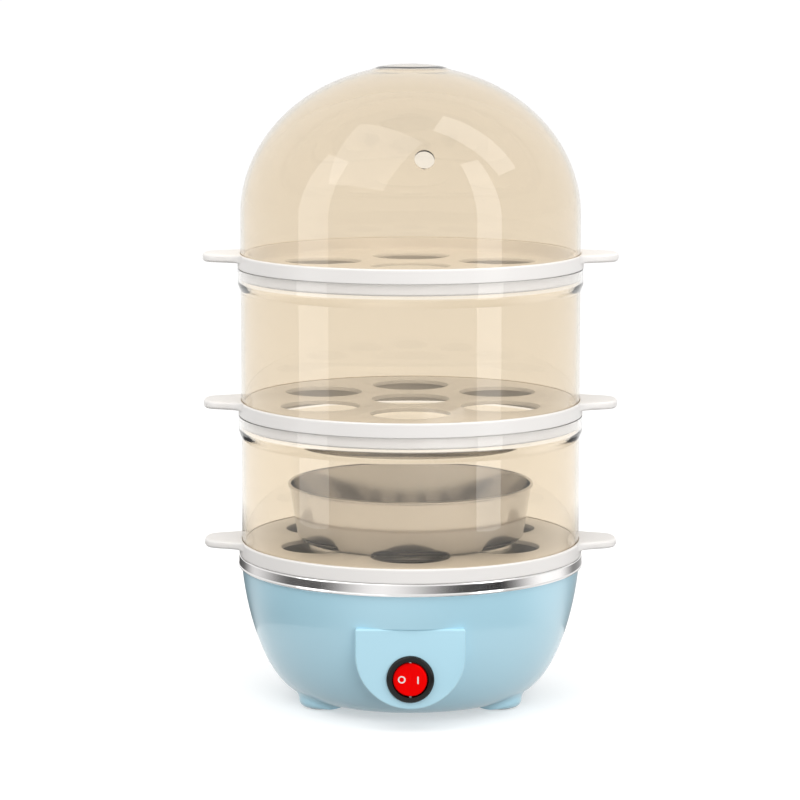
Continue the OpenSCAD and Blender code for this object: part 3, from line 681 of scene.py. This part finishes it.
def noise(tree, scale, rough=0.5, stretch=None):
    """A noise texture over the part's own coordinates, in metres."""
    coords = tree.nodes.new("ShaderNodeTexCoord")
    tex = tree.nodes.new("ShaderNodeTexNoise")
    tex.inputs["Scale"].default_value = scale
    tex.inputs["Detail"].default_value = 2.0
    tex.inputs["Roughness"].default_value = rough
    if stretch is None:
        link(tree, coords.outputs["Object"], tex.inputs["Vector"])
    else:
        mapping = tree.nodes.new("ShaderNodeMapping")
        mapping.inputs["Scale"].default_value = stretch
        link(tree, coords.outputs["Object"], mapping.inputs["Vector"])
        link(tree, mapping.outputs["Vector"], tex.inputs["Vector"])
    return tex.outputs["Fac"]


def ranged(tree, value, low, high):
    """Spreads the middle of a noise texture over the range from low to high."""
    node = tree.nodes.new("ShaderNodeMapRange")
    node.inputs["From Min"].default_value = 0.3
    node.inputs["From Max"].default_value = 0.7
    node.inputs["To Min"].default_value = low
    node.inputs["To Max"].default_value = high
    link(tree, value, node.inputs["Value"])
    return node.outputs["Result"]


def varied_colour(tree, value, colour, amount):
    """The colour, a little lighter or darker from place to place."""
    mix = tree.nodes.new("ShaderNodeMix")
    mix.data_type = "RGBA"
    mix.inputs["A"].default_value = (*[c * (1 - amount) for c in colour], 1)
    mix.inputs["B"].default_value = (*[min(c * (1 + amount), 1) for c in colour], 1)
    link(tree, value, mix.inputs["Factor"])
    return mix.outputs["Result"]


def bumped(tree, shader, height, strength, distance):
    bump = tree.nodes.new("ShaderNodeBump")
    bump.inputs["Strength"].default_value = strength
    bump.inputs["Distance"].default_value = distance
    link(tree, height, bump.inputs["Height"])
    link(tree, bump.outputs["Normal"], shader.inputs["Normal"])


def solid_finish(name, colour, rough, metal=0.0, vary=0.02, coat=0.0, grain=700, strength=0.1,
                 stretch=None, specular=0.5):
    """A plastic, rubber or metal whose colour, gloss and surface all vary slightly."""
    mat, tree, out = nodes_of(name)
    shader = tree.nodes.new("ShaderNodeBsdfPrincipled")
    broad = noise(tree, 22)
    fine = noise(tree, grain, 0.6, stretch)
    link(tree, varied_colour(tree, broad, colour, vary), shader.inputs["Base Color"])
    link(tree, ranged(tree, fine, rough * 0.93, rough * 1.07), shader.inputs["Roughness"])
    shader.inputs["Metallic"].default_value = metal
    shader.inputs["Specular IOR Level"].default_value = specular
    shader.inputs["Coat Weight"].default_value = coat
    shader.inputs["Coat Roughness"].default_value = 0.05
    bumped(tree, shader, fine, strength, GRAIN_H)
    link(tree, shader.outputs["BSDF"], out.inputs["Surface"])
    return mat


def clear_finish(name, tint, rough):
    """Clear tinted plastic. Light from lamps and from the room passes straight through it, tinted."""
    mat, tree, out = nodes_of(name)
    shader = tree.nodes.new("ShaderNodeBsdfPrincipled")
    broad = noise(tree, 14)
    link(tree, varied_colour(tree, broad, tint, 0.008), shader.inputs["Base Color"])
    link(tree, ranged(tree, noise(tree, 60), rough * 0.6, rough * 1.4), shader.inputs["Roughness"])
    shader.inputs["Transmission Weight"].default_value = 1.0
    shader.inputs["IOR"].default_value = 1.49
    through = tree.nodes.new("ShaderNodeBsdfTransparent")
    through.inputs["Color"].default_value = (*[sqrt(c) for c in tint], 1)
    path = tree.nodes.new("ShaderNodeLightPath")
    either = maths(tree, "MAXIMUM", path.outputs["Is Shadow Ray"], path.outputs["Is Diffuse Ray"])
    link(tree, mixed(tree, either, shader.outputs["BSDF"], through.outputs["BSDF"]), out.inputs["Surface"])
    return mat


FINISHES = {
    "blue_plastic": solid_finish(
        "blue_plastic", (0.42, 0.68, 0.80), 0.3, vary=0.012, coat=0.6, strength=0.01
    ),
    "white_plastic": solid_finish("white_plastic", (0.75, 0.73, 0.712), 0.34, vary=0.01, strength=0.01),
    "clear_smoke": clear_finish("clear_smoke", (0.862, 0.79, 0.68), 0.008),
    "clear_collar": clear_finish("clear_collar", (0.985, 0.975, 0.96), 0.008),
    "stainless": solid_finish(
        "stainless", (0.80, 0.79, 0.785), 0.09, 1.0, 0.015, grain=120, strength=0.05, stretch=(1, 1, 12)
    ),
    "bowl_steel": solid_finish(
        "bowl_steel", (0.60, 0.585, 0.57), 0.12, 1.0, 0.015, grain=120, strength=0.05, stretch=(1, 1, 12)
    ),
    "black_plastic": solid_finish(
        "black_plastic", (0.008, 0.008, 0.008), 0.24, vary=0.1, strength=0.05, specular=0.22
    ),
    "red_plastic": solid_finish("red_plastic", (0.86, 0.001, 0.001), 0.3, strength=0.05, specular=0.02),
    "rubber_grey": solid_finish("rubber_grey", (0.033, 0.033, 0.035), 0.7, vary=0.1, strength=0.4),
    "cast_aluminium": solid_finish(
        "cast_aluminium", (0.62, 0.63, 0.65), 0.42, 1.0, 0.05, grain=400, strength=0.4
    ),
    "element_sheath": solid_finish(
        "element_sheath", (0.16, 0.13, 0.12), 0.45, 1.0, 0.2, grain=300, strength=0.3
    ),
    "plated_steel": solid_finish(
        "plated_steel", (0.58, 0.58, 0.60), 0.28, 1.0, 0.04, grain=500, strength=0.2
    ),
    "spring_steel": solid_finish(
        "spring_steel", (0.42, 0.42, 0.44), 0.35, 1.0, 0.05, grain=300, strength=0.2, stretch=(1, 8, 8)
    ),
    "brass": solid_finish("brass", (0.62, 0.47, 0.22), 0.3, 1.0, 0.05, grain=400, strength=0.2),
    "ceramic_white": solid_finish("ceramic_white", (0.74, 0.71, 0.62), 0.6, vary=0.03, strength=0.25),
    "lead_sleeve": solid_finish("lead_sleeve", (0.76, 0.75, 0.70), 0.5, vary=0.03, strength=0.2),
    "lead_red": solid_finish("lead_red", (0.45, 0.02, 0.015), 0.45, vary=0.05, strength=0.2),
}


# ---------------------------------------------------------------- pieces

def dress(obj, finish):
    """Gives the object one finish."""
    obj.data.materials.clear()
    obj.data.materials.append(FINISHES[finish])


def add_piece(obj, body, slot, node=None):
    """Scales a piece to metres, gives it a finish if it has none, and says what it belongs to."""
    obj.data.transform(Matrix.Scale(MM, 4))
    if not obj.data.materials:
        dress(obj, slot)
    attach(obj, body)
    if node is not None:
        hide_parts(node)


add_piece(housing(), "base", "blue_plastic", "base_housing")
add_piece(pan(), "base", "stainless", "heating_pan")
add_piece(switch_body(), "base", "black_plastic", "switch_body")
add_piece(rocker(), "rocker", "red_plastic", "switch_rocker")
add_piece(off_mark(), "rocker", "white_plastic")
add_piece(on_mark(), "rocker", "white_plastic")
add_piece(tray("lower", 0), "lower_tray", "white_plastic", "lower_tray")
add_piece(tray("middle", 0), "middle_tray", "white_plastic", "middle_tray")
add_piece(tray("upper", UPPER_DROP), "upper_tray", "white_plastic", "upper_tray")
add_piece(tube("lower", "middle"), "lower_tube", "clear_smoke", "lower_tube")
add_piece(tube("middle", "upper"), "upper_tube", "clear_smoke", "upper_tube")
add_piece(dome(), "dome_lid", "clear_smoke", "dome_lid")
add_piece(steaming_bowl(), "steaming_bowl", "stainless", "steaming_bowl")

NODE_SLOTS = {
    "bottom_cover": "blue_plastic", "cover_screws": "plated_steel", "foot_pads": "rubber_grey",
    "heater_plate": "cast_aluminium", "heater_tube": "element_sheath", "heater_pins": "plated_steel",
    "pan_studs": "plated_steel", "stud_washers": "plated_steel", "pan_nuts": "plated_steel",
    "earth_lug": "brass", "thermostat_body": "ceramic_white", "thermostat_cap": "cast_aluminium",
    "thermostat_tabs": "plated_steel",
    "thermostat_bracket": "spring_steel", "bracket_screws": "plated_steel", "thermal_fuse": "ceramic_white",
    "fuse_clip": "spring_steel", "switch_lead": "lead_red", "fuse_lead": "lead_sleeve",
    "heater_lead": "lead_sleeve", "switch_terminals": "plated_steel", "switch_pin": "plated_steel",
    "cord_gland": "rubber_grey", "cord_clamp": "black_plastic", "clamp_screws": "plated_steel",
}
for node, slot in NODE_SLOTS.items():
    dress(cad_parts[node], slot)


# ---------------------------------------------------------------- floor, light and camera

FLOOR_HALF, FLOOR_GREY, FLOOR_GLOW = 40000, 0.62, 0.42
RING_RADII = (150, 300, 450, 600)
RING_FADE = (0.48, 0.6)                 # metres from the axis between which the ring fades out
ROOM_LOW, ROOM_HIGH = 0.27, 1.32        # brightness of the room from just below the horizon to straight up
ROOM_TINT = (1.0, 0.995, 0.985, 1)
VIEW_FROM = Vector((0, -1.57, 0.3736))
VIEW_AT = Vector((-0.0052, 0, 0.1493))
LENS, SENSOR = 144.06, 36


def make_floor():
    """White paper that glows a little, so that it stays white under the object's soft shadow."""
    bm = bmesh.new()
    bmesh.ops.create_grid(bm, x_segments=40, y_segments=40, size=FLOOR_HALF)
    obj = finish_mesh("floor", bm)
    obj.data.transform(Matrix.Scale(MM, 4))
    mat, tree, out = nodes_of("floor_paper")
    shader = tree.nodes.new("ShaderNodeBsdfPrincipled")
    link(tree, varied_colour(tree, noise(tree, 3), (FLOOR_GREY,) * 3, 0.004), shader.inputs["Base Color"])
    shader.inputs["Roughness"].default_value = 0.9
    shader.inputs["Specular IOR Level"].default_value = 0.0
    shader.inputs["Emission Color"].default_value = (1, 1, 1, 1)
    shader.inputs["Emission Strength"].default_value = FLOOR_GLOW
    link(tree, shader.outputs["BSDF"], out.inputs["Surface"])
    obj.data.materials.append(mat)
    obj.visible_diffuse = False


# What polished steel sees on the floor round the object: (bearing from the front towards +X, brightness).
BANDS = (
    (-180, 0.8), (-150, 0.1), (-140, 0.15), (-115, 0.85), (-76, 0.12), (-60, 0.1), (-18, 1.1),
    (35, 0.06), (54, 0.02), (92, 1.3), (105, 1.25), (130, 0.3), (180, 0.8),
)


def make_reflected_ring():
    """A ring on the floor that only reflections see. It gives the polished steel its light and dark bands."""
    sides = 128
    bm = bmesh.new()
    bridge(bm, [[bm.verts.new((x, y, 1)) for x, y in circle(r, sides)] for r in RING_RADII])
    obj = finish_mesh("reflected_ring", bm)
    obj.data.transform(Matrix.Scale(MM, 4))
    mat, tree, out = nodes_of("ring_bands")
    coords = tree.nodes.new("ShaderNodeTexCoord")
    split = tree.nodes.new("ShaderNodeSeparateXYZ")
    link(tree, coords.outputs["Object"], split.inputs["Vector"])
    front = maths(tree, "MULTIPLY", split.outputs["Y"], -1.0)
    bearing = maths(tree, "ARCTAN2", split.outputs["X"], front)
    share = maths(tree, "MULTIPLY_ADD", bearing, 1 / (2 * pi), 0.5)
    ramp = tree.nodes.new("ShaderNodeValToRGB")
    ramp.color_ramp.interpolation = "EASE"
    while len(ramp.color_ramp.elements) < len(BANDS):
        ramp.color_ramp.elements.new(0.5)
    for element, (angle, value) in zip(ramp.color_ramp.elements, BANDS):
        element.position = angle / 360 + 0.5
        element.color = (value, value * 0.985, value * 0.98, 1)
    link(tree, share, ramp.inputs["Fac"])
    glow = tree.nodes.new("ShaderNodeEmission")
    link(tree, ramp.outputs["Color"], glow.inputs["Color"])
    clear = tree.nodes.new("ShaderNodeBsdfTransparent")
    length = tree.nodes.new("ShaderNodeVectorMath")
    length.operation = "LENGTH"
    link(tree, coords.outputs["Object"], length.inputs[0])
    fade = tree.nodes.new("ShaderNodeMapRange")
    fade.inputs["From Min"].default_value, fade.inputs["From Max"].default_value = RING_FADE
    link(tree, length.outputs["Value"], fade.inputs["Value"])
    surface = mixed(tree, fade.outputs["Result"], glow.outputs["Emission"], clear.outputs["BSDF"])
    link(tree, surface, out.inputs["Surface"])
    obj.data.materials.append(mat)
    obj.visible_camera = False
    obj.visible_diffuse = False
    obj.visible_transmission = False
    obj.visible_shadow = False


def make_room():
    """Lights the object more from above than from below. Where it is seen or mirrored it is plain white."""
    world = bpy.data.worlds.new("studio")
    bpy.context.scene.world = world
    world.use_nodes = True
    tree = world.node_tree
    tree.nodes.clear()
    out = tree.nodes.new("ShaderNodeOutputWorld")
    coords = tree.nodes.new("ShaderNodeTexCoord")
    split = tree.nodes.new("ShaderNodeSeparateXYZ")
    link(tree, coords.outputs["Generated"], split.inputs["Vector"])
    rise = tree.nodes.new("ShaderNodeMapRange")
    rise.inputs["From Min"].default_value = -0.1
    rise.inputs["From Max"].default_value = 1.0
    rise.inputs["To Min"].default_value = ROOM_LOW
    rise.inputs["To Max"].default_value = ROOM_HIGH
    link(tree, split.outputs["Z"], rise.inputs["Value"])
    room = tree.nodes.new("ShaderNodeBackground")
    room.inputs["Color"].default_value = ROOM_TINT
    link(tree, rise.outputs["Result"], room.inputs["Strength"])
    backdrop = tree.nodes.new("ShaderNodeBackground")
    backdrop.inputs["Color"].default_value = ROOM_TINT
    path = tree.nodes.new("ShaderNodeLightPath")
    seen = maths(tree, "MAXIMUM", path.outputs["Is Camera Ray"], path.outputs["Is Glossy Ray"])
    surface = mixed(tree, seen, room.outputs["Background"], backdrop.outputs["Background"])
    link(tree, surface, out.inputs["Surface"])


def softbox(name, bearing, height, distance, width, tall, watts, aim_z=0.15, glossy=True):
    """A rectangular lamp, sizes in metres, at a bearing from the front towards +X, aimed at the axis."""
    data = bpy.data.lights.new(name, "AREA")
    data.shape = "RECTANGLE"
    data.size = width
    data.size_y = tall
    data.energy = watts
    obj = bpy.data.objects.new(name, data)
    bpy.context.scene.collection.objects.link(obj)
    a = radians(bearing)
    obj.location = (sin(a) * distance, -cos(a) * distance, height)
    obj.rotation_mode = "QUATERNION"
    way = Vector((0, 0, aim_z)) - obj.location
    obj.rotation_quaternion = way.to_track_quat("-Z", "Y")
    obj.visible_camera = False
    obj.visible_glossy = glossy
    obj.visible_transmission = False
    return obj


def make_camera():
    data = bpy.data.cameras.new("photo_view")
    data.lens = LENS
    data.sensor_width = SENSOR
    data.clip_start, data.clip_end = 0.05, 200
    data.dof.use_dof = False
    obj = bpy.data.objects.new("photo_view", data)
    bpy.context.scene.collection.objects.link(obj)
    obj.location = VIEW_FROM
    obj.rotation_mode = "QUATERNION"
    way = VIEW_AT - VIEW_FROM
    obj.rotation_quaternion = way.to_track_quat("-Z", "Y")
    bpy.context.scene.camera = obj


bpy.context.scene.view_settings.view_transform = "Standard"
make_floor()
make_reflected_ring()
make_room()
softbox("strip_left", bearing=-64, height=0.42, distance=0.6, width=0.24, tall=0.84, watts=1.1, aim_z=0.42)
softbox("strip_right", bearing=50.4, height=0.42, distance=0.6, width=0.18, tall=0.84, watts=1.1, aim_z=0.42)
softbox(
    "front_fill", bearing=22, height=0.25, distance=1.1, width=0.5, tall=0.5, watts=3.7,
    aim_z=0.05, glossy=False,
)
softbox("top_left", bearing=-40, height=1.2, distance=0.75, width=0.9, tall=1.1, watts=4.2)
softbox("top_right", bearing=78, height=1.2, distance=0.7, width=0.36, tall=1.0, watts=2.2)
make_camera()
